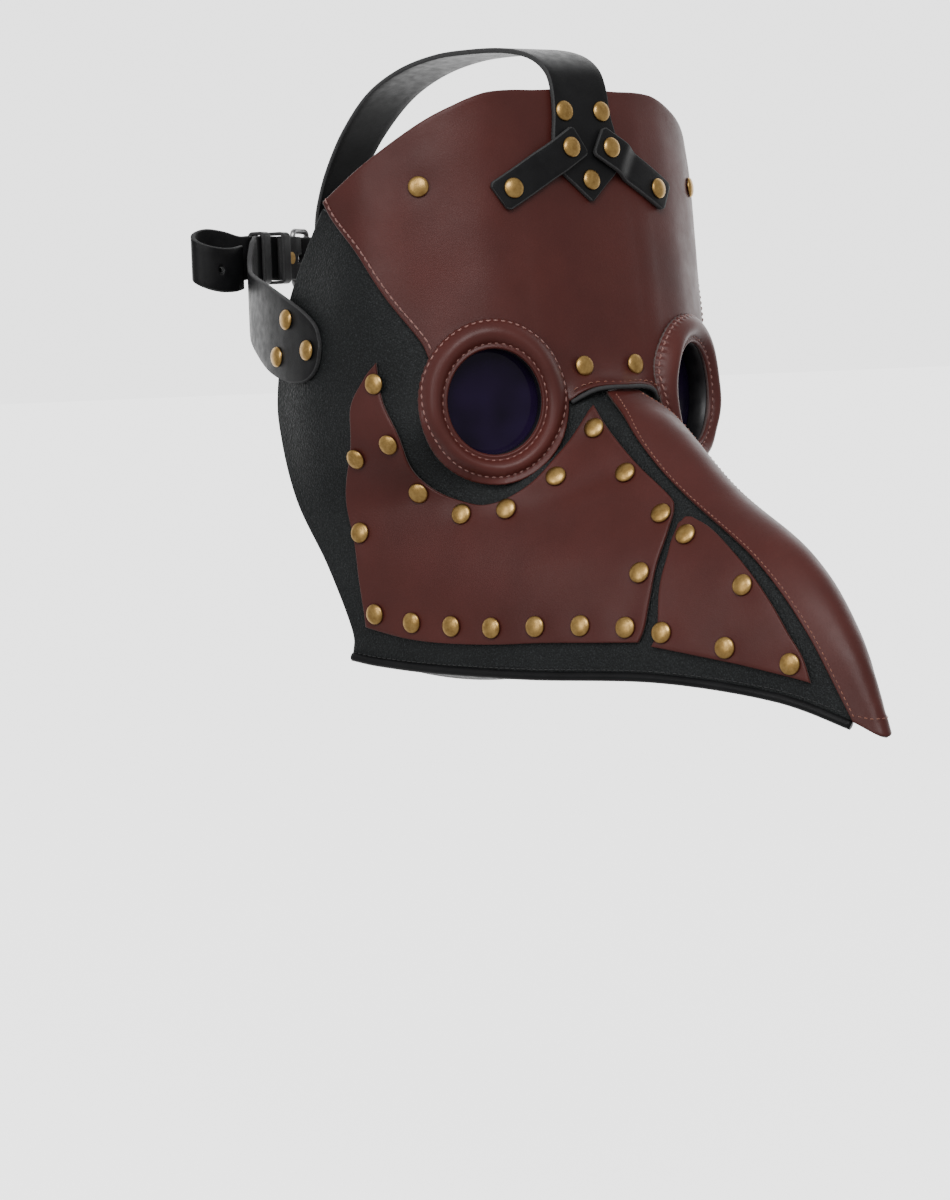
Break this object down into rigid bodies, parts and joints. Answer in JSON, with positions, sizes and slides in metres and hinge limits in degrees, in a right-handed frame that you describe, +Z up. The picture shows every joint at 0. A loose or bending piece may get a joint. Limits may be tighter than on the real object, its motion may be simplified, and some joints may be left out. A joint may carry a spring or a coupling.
{
  "type": "plague doctor mask",
  "caption": "Beaked leather half mask with round padded eye rings, dark lenses, riveted panels and adjustable buckled head straps.",
  "frame": {"origin": "middle of the wearer's head at eye level, halfway between the temples", "axes": "-Y forward along the beak, +Z up, +X towards the wearer's left"},
  "size_m": [0.1818, 0.3343, 0.2609],
  "materials": {
    "antique_brass": "antique brass, domed and worn bright on top",
    "black_base_leather": "fine pebbled black leather, matt",
    "black_piping": "rounded black leather edge, satin",
    "black_plastic": "black, satin",
    "brown_leather": "smooth oxblood-brown leather, semi-gloss, bare grey-brown cut edges",
    "buckle_steel": "nickel-plated wire, satin",
    "dark_lens": "dark violet tinted lens, polished",
    "lining_leather": "rough flesh side, dark",
    "padded_leather": "oxblood leather padded and sewn with pinkish-brown thread",
    "plain_brass": "plain brass, flat",
    "strap_leather": "smooth black strap leather with burnished edges"
  },
  "bodies": {
    "mask": {"forehead_panel": "brown_leather", "forehead_lining": "lining_leather", "brow_welt": "black_piping", "right_base_panel": "black_base_leather", "left_base_panel": "black_base_leather", "right_cheek_panel": "brown_leather", "left_cheek_panel": "brown_leather", "right_beak_panel": "brown_leather", "left_beak_panel": "brown_leather", "beak_bridge_panel": "brown_leather", "beak_underside": "black_base_leather", "right_edge_binding": "black_piping", "left_edge_binding": "black_piping", "right_eye_ring": "padded_leather", "left_eye_ring": "padded_leather", "right_lens_spacer": "black_plastic", "left_lens_spacer": "black_plastic", "right_lens": "dark_lens", "left_lens": "dark_lens", "right_lens_retainer": "black_plastic", "left_lens_retainer": "black_plastic", "top_strap": "strap_leather", "right_strap_arm": "strap_leather", "left_strap_arm": "strap_leather", "right_side_strap": "strap_leather", "left_side_strap": "strap_leather", "fixed_keeper": "strap_leather", "brow_rivets": "antique_brass", "top_strap_rivets": "antique_brass", "right_cheek_rivets": "antique_brass", "left_cheek_rivets": "antique_brass", "right_beak_rivets": "antique_brass", "left_beak_rivets": "antique_brass", "right_strap_rivets": "antique_brass", "left_strap_rivets": "antique_brass", "rear_loop_rivet": "antique_brass", "buckle_rivet": "antique_brass", "right_rivet_backs": "plain_brass", "left_rivet_backs": "plain_brass", "brow_rivet_backs": "plain_brass"},
    "buckle_frame": {"buckle_frame": "buckle_steel"},
    "buckle_prong": {"buckle_prong": "buckle_steel"},
    "sliding_keeper": {"sliding_keeper": "strap_leather"}
  },
  "joints": [
    {"name": "frame_tilt", "type": "hinge", "parent": "mask", "child": "buckle_frame", "pos_m": [-0.0286, 0.0714, 0.061], "axis": [0, 0, 1], "range_deg": [-1, 4]},
    {"name": "prong_lift", "type": "hinge", "parent": "buckle_frame", "child": "buckle_prong", "pos_m": [-0.0286, 0.0714, 0.061], "axis": [0, 0, 1], "range_deg": [0, 6]},
    {"name": "keeper_slide", "type": "slide", "parent": "mask", "child": "sliding_keeper", "axis": [-0.8988, -0.4384, 0], "range_m": [-0.003, 0.003]}
  ]
}
